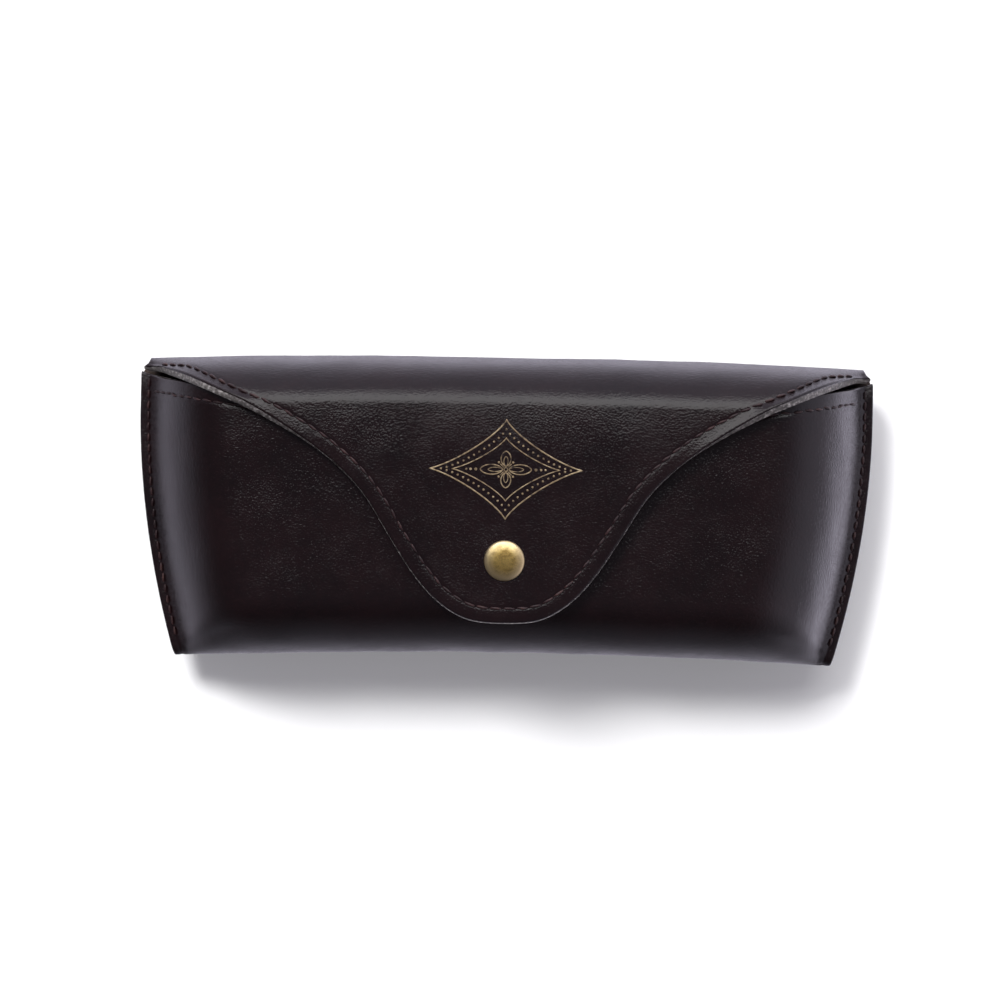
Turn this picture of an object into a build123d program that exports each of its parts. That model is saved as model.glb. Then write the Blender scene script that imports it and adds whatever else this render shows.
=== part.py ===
"""Snap-fastened leather eyeglasses case, lying on its back with the flap closed.

Millimetres. +X runs along the case to the right, +Y towards the flap's fold, +Z up out of the front.
z = 0 is the flat of the back that the case rests on, and x = y = 0 is the middle of its outline.
The case is one folded sheet in section: front panel, rounded bottom, back panel, rounded top, flap.
"""

import os
from math import cos, pi, sin, sqrt

from build123d import *

# --- outline of the case, seen from the front ---
HALF_LENGTH = 87.7  # widest half length, just below the mouth corners
HALF_DEPTH = 36.25  # half of the outline from the bottom corners to the top of the fold
WIDEST_Y = 22.0  # below this the side seams lean in
LEAN_IN = 9.0  # how far each seam leans in by the bottom corner
MOUTH_CORNER_Y = 31.7  # top end of the side seams on the front
CORNER_STEP = 2.1  # the back narrows by this between the seam's end and the fold
BOTTOM_BOW = 1.9  # the bottom's middle stands this much inside its corners
MOUTH_DIP = 8.4  # the front panel's mouth edge sags this much between its corners

# --- section ---
SEAM_Z = 12.0  # plane the side seams lie in
FLANGE = 2.9  # width of the flat margin outside each side seam
FLANGE_HALF = 2.15  # half of its thickness
FRONT_RISE = 22.35  # rise of the front panel above the flange
BACK_DROP = 9.95  # drop of the back panel below it, before the resting flat is pressed in
SHOULDER = 24.0  # distance over which the sides round up to the flat panels
SHOULDER_POWER = 2.4
FRONT_FOLD = 14.0  # bottom fold, length along Y of its front and its back quarter
BACK_FOLD = 11.0
TOP_FOLD = 12.0  # the same at the top, for the back and for the flap
TOP_FOLD_END = 3.6  # and at the two ends of the flap's fold

# --- layers ---
LEATHER = 1.3
LINING = 0.55
STIFFENER = 0.85
GLUE = 0.2  # glue line between two layers
LINING_INSET = 0.5  # the lining stops this far short of each leather edge

# --- flap ---
FOLD_Y = 34.85  # straight fold line that the flap turns about
FOLD_BOW = 1.4  # the fold bulges this much past that line at mid length
FOLD_FOOT = 0.15  # share of the flap's height taken by that bulge
FOLD_GAP = 0.12  # the flap's leather starts this much above the back's
FLAP_END_GAP = 0.35  # clearance over the front panel at the fold's ends
SNAP_GAP = 2.3  # and at the snap
FLAP_OUTLINE = [  # half of the flap's edge, from the tip of the tongue to the fold's end
    (0, -26.6),
    (8.6, -25.7),
    (15.6, -21.6),
    (21.4, -15.2),
    (27.0, -6.7),
    (32.6, 2.3),
    (38.0, 8.3),
    (44.5, 13.6),
    (54.0, 19.3),
    (66.0, 25.2),
    (76.0, 29.3),
    (88.0, 32.9),
]

# --- stitching ---
THREAD_R = 0.3
STITCH_LIFT = 0.12  # each stitch clears the leather by this
SEAM_PITCH, SEAM_STITCH = 2.6, 1.9
FLAP_PITCH, FLAP_STITCH = 3.1, 2.3
SEAM_INSET = 1.9
MOUTH_INSET = 3.5
FLAP_INSET = 3.6

# --- snap fastener, on one axis through the tongue and the front panel ---
SNAP_Y = -11.9
CAP_R, CAP_RISE, CAP_WALL, CAP_RIM = 4.75, 1.25, 0.35, 0.35
BARREL_R, BARREL_BORE, BARREL_FLARE = 1.6, 1.15, 2.3
SOCKET_R, SOCKET_MOUTH_R, SOCKET_CHAMBER_R = 4.2, 2.45, 3.15
SOCKET_PLATE, SOCKET_LIP = 0.4, 0.2
STUD_R, STUD_FLANGE, STUD_NECK_R, STUD_BALL_R, STUD_HEIGHT = 4.0, 0.3, 1.45, 1.8, 1.4
POST_R, POST_HEAD_R, POST_HEAD = 0.9, 3.4, 0.35
SPRING_R, SPRING_WIRE, SPRING_SPAN = 2.5, 0.14, 300
FIT = 0.05  # clearance between the snap's parts
HOLE_FIT = 0.15  # clearance round them in the layers

FLAP_STACK = LEATHER + GLUE + LINING
FLAP_FOOT = FLANGE_HALF + FLAP_END_GAP + FLAP_STACK
FLAP_RISE = FRONT_RISE + SNAP_GAP - FLAP_END_GAP
PANEL_Z = SEAM_Z + FLANGE_HALF + FRONT_RISE
FLAP_Z = PANEL_Z + SNAP_GAP + FLAP_STACK


def smooth(t):
    t = min(max(t, 0.0), 1.0)
    return t * t * (3 - 2 * t)


def side_line(y):
    """Half of the case's length at y, before the top corners are cut back."""
    return HALF_LENGTH - LEAN_IN * (max(0.0, WIDEST_Y - y) / (WIDEST_Y + HALF_DEPTH)) ** 1.9


def half_length(y):
    """Half of the case's length at y."""
    return side_line(y) - CORNER_STEP * smooth((y - MOUTH_CORNER_Y + 0.8) / 3.95)


def rise(x, y):
    """Share of a panel's full rise at x, y: nought on the side flanges, one on the flat."""
    inside = side_line(y) - FLANGE - abs(x)
    inside = 0.5 * (inside + sqrt(inside * inside + 1.0))
    return 1 - (1 - min(inside / SHOULDER, 1.0)) ** SHOULDER_POWER


def mouth_y(s):
    return MOUTH_CORNER_Y - MOUTH_DIP * max(0.0, 1 - s * s) ** 0.75


def body_point(s, v):
    """Outer surface from the mouth edge (v = 0) round the bottom and up the back to the fold (v = 5)."""
    zone = min(int(v), 4)
    t = v - zone
    low = -HALF_DEPTH + BOTTOM_BOW * (1 - s * s)
    y = (mouth_y(s), low, low, 0.0, FOLD_Y)[zone]
    for _ in range(4):
        x = s * half_length(y)
        h = rise(x, y)
        front, back = FLANGE_HALF + h * FRONT_RISE, FLANGE_HALF + h * BACK_DROP
        fold_f = FLANGE_HALF + h * (FRONT_FOLD - FLANGE_HALF)
        fold_b = FLANGE_HALF + h * (BACK_FOLD - FLANGE_HALF)
        top = FLANGE_HALF + h * (TOP_FOLD - FLANGE_HALF)
        a = t * pi / 2
        y, z = (
            (mouth_y(s) * (1 - t) + (low + fold_f) * t, front),
            (low + fold_f * (1 - sin(a)), front * cos(a)),
            (low + fold_b * (1 - cos(a)), -back * sin(a)),
            ((low + fold_b) * (1 - t) + (FOLD_Y - top) * t, -back),
            (FOLD_Y - top * (1 - sin(a)), -back * cos(a)),
        )[zone]
    return Vector(s * half_length(y), y, SEAM_Z + z)


def flap_point(s, v):
    """Outer surface from the fold line (v = 0) over the top and down the front (v = 3)."""
    zone = min(int(v), 2)
    t = v - zone
    y = (FOLD_Y, FOLD_Y, 0.0)[zone]
    for _ in range(4):
        h = rise(s * half_length(y), y)
        height = FLAP_FOOT + h * FLAP_RISE
        top = TOP_FOLD_END + h * (TOP_FOLD - TOP_FOLD_END)
        crest = FOLD_Y + FOLD_BOW * (1 - s * s)
        foot = FOLD_FOOT * height
        a = t * pi / 2
        y, z = (
            (FOLD_Y + (crest - FOLD_Y) * smooth(t), foot * t),
            (crest - top * (1 - cos(a)), foot + (height - foot) * sin(a)),
            ((crest - top) * (1 - t) + (FLAP_OUTLINE[0][1] - 2) * t, height),
        )[zone]
    return Vector(s * half_length(y), y, SEAM_Z + z)


def normal(point, s, v):
    """Outward normal of a surface at s, v."""
    e = 1e-4
    s, v = min(max(s, e - 1), 1 - e), max(v, e)
    along = point(s + e, v) - point(s - e, v)
    down = point(s, v + e) - point(s, v - e)
    return along.cross(down).normalized() * -1


def between(low, high, stations):
    return [low] + [k for k in stations if low + 0.01 < k < high - 0.01] + [high]


def layer(point, width, v_range, v_stations, outer, inner):
    """Closed sheet between two depths under a surface, over s = -width..width and a range of v."""
    reach = (FLANGE + SHOULDER) / HALF_LENGTH  # share of the half length before the flat begins
    shares = (0, 0.033, 0.065, 0.09, 0.115, 0.145, 0.18, 0.225, 0.285, 0.37, 0.49, 0.65, 0.82, 1)
    half = [1 - k * reach for k in shares] + [(1 - reach) * k for k in (0.9, 0.7, 0.35)]
    half = [width] + [k for k in half if k < width - 0.005]  # every layer shares the same stations
    s_rows = [-k for k in half] + [0] + [k for k in reversed(half)]
    v_rows = between(*v_range, v_stations)
    # One spacing serves every section: midway between the chords of the middle and of the side.
    spans = [
        sqrt((point(0, a) - point(0, b)).length * (point(0.97, a) - point(0.97, b)).length)
        for a, b in zip(v_rows, v_rows[1:])
    ]
    knots = [sum(spans[:k]) for k in range(len(v_rows))]

    def curve(s, depth):
        row = []
        for v in v_rows:
            d = depth(s, v) if callable(depth) else depth
            row.append(point(s, v) - normal(point, s, v) * d)
        return Edge.make_spline(row, parameters=knots)

    sections, rims = [], []
    for s in s_rows:
        top, bottom = curve(s, outer), curve(s, inner)
        ends = [Edge.make_line(top @ k, bottom @ k) for k in (0, 1)]
        sections.append(Wire([top, ends[1], bottom, ends[0]]))
        if s in (s_rows[0], s_rows[-1]):
            rims.append((top @ 0.5, bottom @ 0.5))
    walls = Shell.make_loft(sections)
    edges = walls.edges()
    caps = []
    for pair in rims:
        a, b = (min(edges, key=lambda e: ((e @ 0.5) - p).length) for p in pair)
        if ((a @ 0) - (b @ 0)).length > ((a @ 0) - (b @ 1)).length:
            b = b.reversed()
        caps.append(Face.make_surface_from_curves(a, b))
    return Solid(Shell([*walls.faces(), *caps]))


def surface_at(point, v_range, x, y):
    """The point of a surface's front over x, y, and its outward normal."""
    s = x / half_length(y)
    low, high = v_range
    for _ in range(30):
        v = (low + high) / 2
        low, high = (v, high) if point(s, v).Y > y else (low, v)
    return point(s, v), normal(point, s, v)


def pocket(s, v):
    """Extra depth of the body's lining, which opens to hold a stiffener under each flat panel."""
    y = body_point(s, v).Y
    inside = half_length(y) * (1 - abs(s)) - FLANGE
    full = STIFFENER + GLUE
    if v < 1:
        full *= smooth((mouth_y(s) - y - 3.5) / 8)
    if v > 3:
        full *= smooth((FOLD_Y - TOP_FOLD - 3 - y) / 7)
    return full * smooth((inside - 1.5) / 5)


def flap_edge(inset):
    """The flap's outline from one end of the fold to the other, moved in from the leather's edge."""
    half = [Vector(x, y) for x, y in FLAP_OUTLINE]
    whole = [Vector(-p.X, p.Y) for p in reversed(half[1:])] + half
    moved = []
    for i, p in enumerate(whole):
        along = (whole[min(i + 1, len(whole) - 1)] - whole[max(i - 1, 0)]).normalized()
        moved.append(p + Vector(-along.Y, along.X) * inset)
    return Edge.make_spline(moved)


def flap_prism(inset):
    """Everything within the flap's outline, from the fold line's height up."""
    edge = flap_edge(inset)
    a, b = edge @ 0, edge @ 1
    top = HALF_DEPTH + 5
    rim = Polyline(b, (b.X, top), (a.X, top), a)
    face = make_face([edge, *rim.edges()])
    return Pos(0, 0, SEAM_Z + FOLD_GAP + inset) * extrude(face, FLAP_Z)


def drill(solid, radius):
    """Hole through a layer on the snap's axis, in the upper half of the case."""
    tool = Pos(0, SNAP_Y, SEAM_Z) * Cylinder(
        radius, 2 * FLAP_Z, align=(Align.CENTER, Align.CENTER, Align.MIN)
    )
    return solid - tool


def turned(profile, base):
    """Solid of revolution on the snap's axis from (radius, height) corners; a 3-tuple bulges an edge."""
    edges = []
    for i, corner in enumerate(profile):
        a, b = corner[:2], profile[(i + 1) % len(profile)][:2]
        p, q = Vector(a[0], 0, a[1]), Vector(b[0], 0, b[1])
        if len(corner) == 3:
            along = q - p
            out = Vector(along.Z, 0, -along.X).normalized() * corner[2]
            edges.append(Edge.make_spline([p, (p + q) * 0.5 + out, q]))
        else:
            edges.append(Edge.make_line(p, q))
    return Pos(0, SNAP_Y, base) * revolve(make_face(edges), Axis.Z)


def spindle(length):
    """One stitch along X: an eight-sided cord that tapers towards the holes at its ends."""
    rings = []
    for k, share in ((-0.5, 0.3), (-0.38, 0.85), (-0.14, 1), (0.14, 1), (0.38, 0.85), (0.5, 0.3)):
        r = THREAD_R * share
        rings.append([Vector(length * k, r * cos(i * pi / 4), r * sin(i * pi / 4)) for i in range(8)])
    outlines = [rings[0], rings[-1]]
    for one, two in zip(rings, rings[1:]):
        outlines += [[one[i], one[i - 1], two[i - 1], two[i]] for i in range(8)]
    return Solid(Shell([Face(Wire.make_polygon(corners)) for corners in outlines]))


def stitches(path, pitch, length, find):
    """A row of sewn stitches at one pitch along a plan path of (x, y)."""
    cord = spindle(length)
    found = [find(x, y) for x, y in path]
    seam = Edge.make_spline([p + n * (THREAD_R + STITCH_LIFT) for p, n in found])
    row = []
    for k in range(int(seam.length / pitch)):
        at = (k + 0.5) * pitch
        a, b = (seam.position_at((at + e * length / 2) / seam.length) for e in (-1, 1))
        row.append(cord.moved(Location(Plane((a + b) * 0.5, x_dir=b - a, z_dir=across(b - a)))))
    return Compound(children=row)


def across(v):
    """A direction square to v."""
    return v.cross(Vector(0, 0, 1) if abs(v.Z) < abs(v.X) + abs(v.Y) else Vector(1, 0, 0))


# --- leather, lining and stiffeners of the body ---
body_rows = [0, 0.05, 0.12, 0.18, 0.25, 0.34, 0.45, 0.65, 0.82, 0.94]
body_rows += [1 + k / 8 for k in range(8)] + [2 + k / 7 for k in range(7)]
body_rows += [3, 3.08, 3.25, 3.5, 3.65, 3.74, 3.82, 3.9, 3.96] + [4 + k / 8 for k in range(9)]
parts = {}
leather = layer(body_point, 1, (0, 5), body_rows, 0, LEATHER)
leather -= Pos(0, 0, -5) * Box(3 * HALF_LENGTH, 3 * HALF_DEPTH, 10)
parts["outer_leather"] = drill(leather, POST_R + HOLE_FIT)

trim = LINING_INSET / HALF_LENGTH
lining_top = LEATHER + GLUE
lining = layer(
    body_point,
    1 - trim,
    (2 * trim, 4.95),
    body_rows,
    lambda s, v: lining_top + pocket(s, v),
    lambda s, v: lining_top + pocket(s, v) + LINING,
)
parts["body_lining"] = drill(lining, POST_R + HOLE_FIT)
for name, v_range in (("front_stiffener", (0.31, 0.96)), ("back_stiffener", (3.06, 3.72))):
    board = layer(body_point, 0.88, v_range, body_rows, lining_top, lining_top + STIFFENER)
    parts[name] = drill(board, POST_R + HOLE_FIT) if name == "front_stiffener" else board

# --- leather and lining of the flap ---
flap_rows = [0, 0.25, 0.5, 0.75] + [1 + k / 10 for k in range(10)]
flap_rows += [2, 2.06, 2.15, 2.3, 2.5, 2.75, 3]
cover = layer(flap_point, 1, (0.01, 3), flap_rows, 0, LEATHER) & flap_prism(0)
parts["flap_leather"] = drill(cover, BARREL_R + HOLE_FIT)
facing = layer(flap_point, 1 - trim, (0.1, 3), flap_rows, lining_top, lining_top + LINING)
parts["flap_lining"] = drill(facing & flap_prism(LINING_INSET), BARREL_R + HOLE_FIT)

# --- stitching ---
on_body = lambda x, y: surface_at(body_point, (0, 2), x, y)
on_flap = lambda x, y: surface_at(flap_point, (1, 3), x, y)
for side, name in ((-1, "left_seam_stitching"), (1, "right_seam_stitching")):
    ys = [MOUTH_CORNER_Y - 2.2 - (MOUTH_CORNER_Y + HALF_DEPTH - 5.2) * k / 30 for k in range(31)]
    path = [(side * (half_length(y) - SEAM_INSET), y) for y in ys]
    parts[name] = stitches(path, SEAM_PITCH, SEAM_STITCH, on_body)
reach = 1 - 5.5 / HALF_LENGTH
path = []
for k in range(61):
    s = reach * sin((k / 30 - 1) * pi / 2)
    y = mouth_y(s) - MOUTH_INSET
    path.append((s * half_length(y), y))
parts["mouth_stitching"] = stitches(path, FLAP_PITCH, FLAP_STITCH, on_body)
hem = flap_edge(FLAP_INSET)
path = [(p.X, p.Y) for p in (hem @ (k / 120) for k in range(121)) if p.Y < FOLD_Y - 1.2]
parts["flap_stitching"] = stitches(path, FLAP_PITCH, FLAP_STITCH, on_flap)

# --- snap fastener: stud on the front panel ---
stud_z = PANEL_Z + FIT
stud_top = STUD_HEIGHT
ball_z = STUD_FLANGE + 0.25
parts["snap_stud"] = turned(
    [
        (POST_R + FIT, 0),
        (STUD_R, 0),
        (STUD_R, STUD_FLANGE * 0.5),
        (STUD_NECK_R, STUD_FLANGE),
        (STUD_NECK_R, ball_z, 0.3),
        (STUD_NECK_R, stud_top - 0.2),
        (STUD_NECK_R - 0.3, stud_top),
        (0, stud_top),
        (0, stud_top - 0.3),
        (POST_R + FIT, stud_top - 0.3),
    ],
    stud_z,
)
inside_z = PANEL_Z - lining_top - STIFFENER - GLUE - LINING - FIT
post_top = stud_z + stud_top - 0.3 - FIT - inside_z
parts["stud_post"] = turned(
    [
        (0, -POST_HEAD, 0.08),
        (POST_HEAD_R, -0.1),
        (POST_HEAD_R, 0),
        (POST_R, 0),
        (POST_R, post_top),
        (0, post_top),
    ],
    inside_z,
)

# --- snap fastener: socket, spring and cap on the flap ---
socket_z = stud_z + STUD_FLANGE + 2 * FIT
plate_top = PANEL_Z + SNAP_GAP - FIT - socket_z
plate_low = plate_top - SOCKET_PLATE
parts["snap_socket"] = turned(
    [
        (SOCKET_MOUTH_R, 0),
        (SOCKET_R - 0.2, 0),
        (SOCKET_R, 0.25),
        (SOCKET_R, plate_top - 0.2),
        (SOCKET_R - 0.2, plate_top),
        (BARREL_R + FIT, plate_top),
        (BARREL_R + FIT, plate_low),
        (SOCKET_CHAMBER_R, plate_low),
        (SOCKET_CHAMBER_R, SOCKET_LIP),
        (SOCKET_MOUTH_R, SOCKET_LIP),
    ],
    socket_z,
)
wire = Plane((SPRING_R, 0, 0), x_dir=(1, 0, 0), z_dir=(0, 1, 0)) * Circle(SPRING_WIRE)
spring_z = socket_z + SOCKET_LIP + FIT + SPRING_WIRE
spring = revolve(wire, Axis.Z, SPRING_SPAN)
parts["snap_spring"] = Pos(0, SNAP_Y, spring_z) * Rot(0, 0, 90 + (360 - SPRING_SPAN) / 2) * spring

cap_z = FLAP_Z + FIT
flare = socket_z + plate_low - FIT - cap_z
parts["snap_cap"] = turned(
    [
        (BARREL_BORE, flare - 0.22),
        (BARREL_FLARE, flare - 0.22),
        (BARREL_FLARE, flare),
        (BARREL_R, flare),
        (BARREL_R, CAP_RISE - CAP_WALL - 0.1),
        (CAP_R - CAP_WALL, CAP_RIM),
        (CAP_R - CAP_WALL, 0),
        (CAP_R, 0),
        (CAP_R, CAP_RIM),
        (CAP_R - 0.35, CAP_RIM + 0.25, 0.2),
        (0, CAP_RISE),
        (0, CAP_RISE - CAP_WALL),
        (BARREL_BORE, CAP_RISE - CAP_WALL),
    ],
    cap_z,
)

os.makedirs("parts", exist_ok=True)
for name, part in parts.items():
    export_step(part, f"parts/{name}.step")
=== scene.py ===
import math

import bpy
import numpy as np
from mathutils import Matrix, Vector
from mathutils.bvhtree import BVHTree


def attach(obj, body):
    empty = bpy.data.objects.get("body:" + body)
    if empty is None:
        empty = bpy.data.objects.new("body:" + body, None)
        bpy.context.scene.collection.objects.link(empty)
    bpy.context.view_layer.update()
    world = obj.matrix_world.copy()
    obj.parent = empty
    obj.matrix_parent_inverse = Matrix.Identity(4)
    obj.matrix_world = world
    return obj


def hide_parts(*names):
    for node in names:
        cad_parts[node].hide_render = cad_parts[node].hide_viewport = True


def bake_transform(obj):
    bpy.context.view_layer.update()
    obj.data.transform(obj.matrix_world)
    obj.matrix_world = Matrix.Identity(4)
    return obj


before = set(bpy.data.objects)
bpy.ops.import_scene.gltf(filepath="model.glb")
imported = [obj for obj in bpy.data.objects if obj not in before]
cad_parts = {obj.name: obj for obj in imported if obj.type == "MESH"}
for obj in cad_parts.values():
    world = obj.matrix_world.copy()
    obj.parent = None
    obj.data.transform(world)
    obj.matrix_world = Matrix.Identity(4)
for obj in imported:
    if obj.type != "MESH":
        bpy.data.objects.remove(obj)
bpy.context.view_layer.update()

# ---------------------------------------------------------------- the case's form, in millimetres
HALF_LENGTH, HALF_DEPTH, WIDEST_Y, LEAN_IN = 87.7, 36.25, 22.0, 9.0
MOUTH_CORNER_Y, CORNER_STEP, BOTTOM_BOW, MOUTH_DIP = 31.7, 2.1, 1.9, 8.4
SEAM_Z, FLANGE, FLANGE_HALF = 12.0, 2.9, 2.15
FRONT_RISE, BACK_DROP, SHOULDER, SHOULDER_POWER = 22.35, 9.95, 24.0, 2.4
FRONT_FOLD, BACK_FOLD, TOP_FOLD, TOP_FOLD_END = 14.0, 11.0, 12.0, 3.6
LEATHER, LINING, STIFFENER, GLUE = 1.3, 0.55, 0.85, 0.2
FOLD_Y, FOLD_BOW, FOLD_FOOT = 34.85, 1.4, 0.15
FLAP_END_GAP, SNAP_GAP = 0.35, 2.3
FLAP_STACK = LEATHER + GLUE + LINING
FLAP_FOOT = FLANGE_HALF + FLAP_END_GAP + FLAP_STACK
FLAP_RISE = FRONT_RISE + SNAP_GAP - FLAP_END_GAP
FLAP_OUTLINE = np.array([
    (0, -26.6), (8.6, -25.7), (15.6, -21.6), (21.4, -15.2), (27.0, -6.7), (32.6, 2.3),
    (38.0, 8.3), (44.5, 13.6), (54.0, 19.3), (66.0, 25.2), (76.0, 29.3), (88.0, 32.9),
])
SNAP_Y = -11.9
SEAM_INSET, MOUTH_INSET, FLAP_INSET = 1.9, 3.5, 3.6
SEAM_PITCH, MOUTH_PITCH, FLAP_PITCH = 2.6, 3.1, 3.1
LINING_INSET = 0.5
POCKET_LENGTH = 47.0  # along the front from the mouth to the bottom fold, about
TABLE_GAP = 0.02  # nothing reaches below this height
FAR = 99.0  # stands for a distance that plays no part
MM = 0.001


def smooth(t):
    t = np.clip(t, 0.0, 1.0)
    return t * t * (3 - 2 * t)


def side_line(y):
    """Half of the case's length at y, before the top corners are cut back."""
    return HALF_LENGTH - LEAN_IN * (np.maximum(0.0, WIDEST_Y - y) / (WIDEST_Y + HALF_DEPTH)) ** 1.9


def half_length(y):
    return side_line(y) - CORNER_STEP * smooth((y - MOUTH_CORNER_Y + 0.8) / 3.95)


def rise(x, y):
    d = side_line(y) - FLANGE - np.abs(x)
    d = 0.5 * (d + np.sqrt(d * d + 1.0))
    return 1 - (1 - np.minimum(d / SHOULDER, 1.0)) ** SHOULDER_POWER


def mouth_y(s):
    return MOUTH_CORNER_Y - MOUTH_DIP * np.maximum(0.0, 1 - s * s) ** 0.75


def body_surface(s, v):
    """Outer surface from the mouth edge (v = 0) round the bottom and up the back to the fold (v = 5)."""
    zone = np.minimum(v.astype(int), 4)
    t = v - zone
    low = -HALF_DEPTH + BOTTOM_BOW * (1 - s * s)
    y = np.choose(zone, (mouth_y(s), low, low, 0 * s, FOLD_Y + 0 * s))
    for _ in range(4):
        h = rise(s * half_length(y), y)
        front, back = FLANGE_HALF + h * FRONT_RISE, FLANGE_HALF + h * BACK_DROP
        ff = FLANGE_HALF + h * (FRONT_FOLD - FLANGE_HALF)
        fb = FLANGE_HALF + h * (BACK_FOLD - FLANGE_HALF)
        top = FLANGE_HALF + h * (TOP_FOLD - FLANGE_HALF)
        a = t * math.pi / 2
        sa, ca = np.sin(a), np.cos(a)
        y = np.choose(zone, (
            mouth_y(s) * (1 - t) + (low + ff) * t,
            low + ff * (1 - sa),
            low + fb * (1 - ca),
            (low + fb) * (1 - t) + (FOLD_Y - top) * t,
            FOLD_Y - top * (1 - sa),
        ))
        z = np.choose(zone, (front, front * ca, -back * sa, -back, -back * ca))
    return np.stack([s * half_length(y), y, SEAM_Z + z], -1)


def flap_surface(s, v):
    """Outer surface from the fold line (v = 0) over the top and down the front (v = 3)."""
    zone = np.minimum(v.astype(int), 2)
    t = v - zone
    y = np.choose(zone, (FOLD_Y + 0 * s, FOLD_Y + 0 * s, 0 * s))
    for _ in range(4):
        h = rise(s * half_length(y), y)
        height = FLAP_FOOT + h * FLAP_RISE
        top = TOP_FOLD_END + h * (TOP_FOLD - TOP_FOLD_END)
        crest = FOLD_Y + FOLD_BOW * (1 - s * s)
        foot = FOLD_FOOT * height
        a = t * math.pi / 2
        y = np.choose(zone, (
            FOLD_Y + (crest - FOLD_Y) * smooth(t),
            crest - top * (1 - np.cos(a)),
            (crest - top) * (1 - t) + (FLAP_OUTLINE[0, 1] - 2) * t,
        ))
        z = np.choose(zone, (foot * t, foot + (height - foot) * np.sin(a), height))
    return np.stack([s * half_length(y), y, SEAM_Z + z], -1)


# ---------------------------------------------------------------- mesh helpers
def lift(grid, amount):
    """A grid of points moved along its own outward normals."""
    along = np.gradient(grid, axis=0)
    down = np.gradient(grid, axis=1)
    n = -np.cross(along, down)
    n /= np.linalg.norm(n, axis=-1, keepdims=True) + 1e-12
    return grid + n * np.asarray(amount)[..., None], n


def new_mesh(name, verts, faces):
    """Object from points in millimetres."""
    mesh = bpy.data.meshes.new(name)
    mesh.from_pydata([tuple(p) for p in np.asarray(verts) * MM], [], [tuple(map(int, f)) for f in faces])
    mesh.update()
    mesh.polygons.foreach_set("use_smooth", [True] * len(mesh.polygons))
    ob = bpy.data.objects.new(name, mesh)
    bpy.context.scene.collection.objects.link(ob)
    return ob


def thick_sheet(name, outer, inner, materials):
    """Closed solid between two like grids; materials are for the outer face, the rim and the inner face."""
    n, m = outer.shape[:2]
    idx = np.arange(n * m).reshape(n, m)
    a, b, c, d = idx[:-1, :-1].ravel(), idx[1:, :-1].ravel(), idx[1:, 1:].ravel(), idx[:-1, 1:].ravel()
    front = np.stack([a, d, c, b], 1)
    back = np.stack([a, b, c, d], 1) + n * m
    loop = np.concatenate([idx[:, 0], idx[-1, 1:], idx[-2::-1, -1], idx[0, -2:0:-1]])
    nxt = np.roll(loop, -1)
    rim = np.stack([loop, nxt, nxt + n * m, loop + n * m], 1)
    ob = new_mesh(name, np.concatenate([outer.reshape(-1, 3), inner.reshape(-1, 3)]),
                  np.concatenate([front, back, rim]))
    for mat in materials:
        ob.data.materials.append(mat)
    slots = np.zeros(len(ob.data.polygons), int)
    if len(materials) > 1:
        slots[len(front) + len(back):] = 1
    if len(materials) > 2:
        slots[len(front):len(front) + len(back)] = 2
    ob.data.polygons.foreach_set("material_index", slots)
    ob.data.update()
    return ob


def rounding(e, r):
    """How far a sheet's face sinks at e from its edge, for an edge rounded to radius r."""
    e = np.clip(e, 0, r)
    return r - np.sqrt(r * r - (r - e) ** 2)


def waves(p, scale, seed, count=14):
    """Soft aperiodic undulation in -1..1 over plan points, with features about one scale across."""
    r = np.random.default_rng(seed)
    total = np.zeros(p.shape[:-1])
    for _ in range(count):
        k = r.normal(size=3) * 2 * math.pi / scale * 0.55
        total += np.sin(p @ k + r.uniform(0, 2 * math.pi))
    return total / math.sqrt(count) / 1.3


def edge_offsets(limit, marks, fine):
    """Distances from an edge: close together near it and about each mark."""
    values = [0, 0.06, 0.14, 0.26, 0.42, 0.65, 0.95, 1.35]
    for m in marks:
        values += [m + k for k in (-0.75, -0.5, -0.3, -0.15, 0, 0.15, 0.3, 0.5, 0.75)]
    values += list(np.arange(marks[-1] + 1.1, limit, fine)) + [limit]
    out = [0]
    for x in sorted(v for v in values if v >= 0):
        if x - out[-1] > 0.045:
            out.append(x)
    return np.array(out)


# ---------------------------------------------------------------- materials
def material(name):
    mat = bpy.data.materials.new(name)
    mat.use_nodes = True
    nt = mat.node_tree
    return mat, nt, nt.nodes["Principled BSDF"]


def ramp(nt, source, stops):
    r = nt.nodes.new("ShaderNodeValToRGB")
    el = r.color_ramp.elements
    while len(el) < len(stops):
        el.new(0.5)
    for e, (pos, col) in zip(el, stops):
        e.position = pos
        e.color = (*col, 1)
    nt.links.new(source, r.inputs["Fac"])
    return r.outputs["Color"]


def coords(nt):
    return nt.nodes.new("ShaderNodeTexCoord").outputs["Object"]


def noise(nt, vec, scale, detail=3.0, rough=0.55):
    n = nt.nodes.new("ShaderNodeTexNoise")
    n.inputs["Scale"].default_value = scale
    n.inputs["Detail"].default_value = detail
    n.inputs["Roughness"].default_value = rough
    nt.links.new(vec, n.inputs["Vector"])
    return n.outputs["Fac"]


def math_node(nt, op, a, b):
    n = nt.nodes.new("ShaderNodeMath")
    n.operation = op
    for i, x in enumerate((a, b)):
        if isinstance(x, (int, float)):
            n.inputs[i].default_value = x
        else:
            nt.links.new(x, n.inputs[i])
    return n.outputs[0]


def map_range(nt, value, a, b, c, d):
    n = nt.nodes.new("ShaderNodeMapRange")
    for i, x in enumerate((a, b, c, d)):
        n.inputs[i + 1].default_value = x
    nt.links.new(value, n.inputs[0])
    return n.outputs[0]


def bump(nt, height, distance, strength=1.0, before=None):
    n = nt.nodes.new("ShaderNodeBump")
    n.inputs["Strength"].default_value = strength
    n.inputs["Distance"].default_value = distance
    nt.links.new(height, n.inputs["Height"])
    if before is not None:
        nt.links.new(before, n.inputs["Normal"])
    return n.outputs["Normal"]


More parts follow.
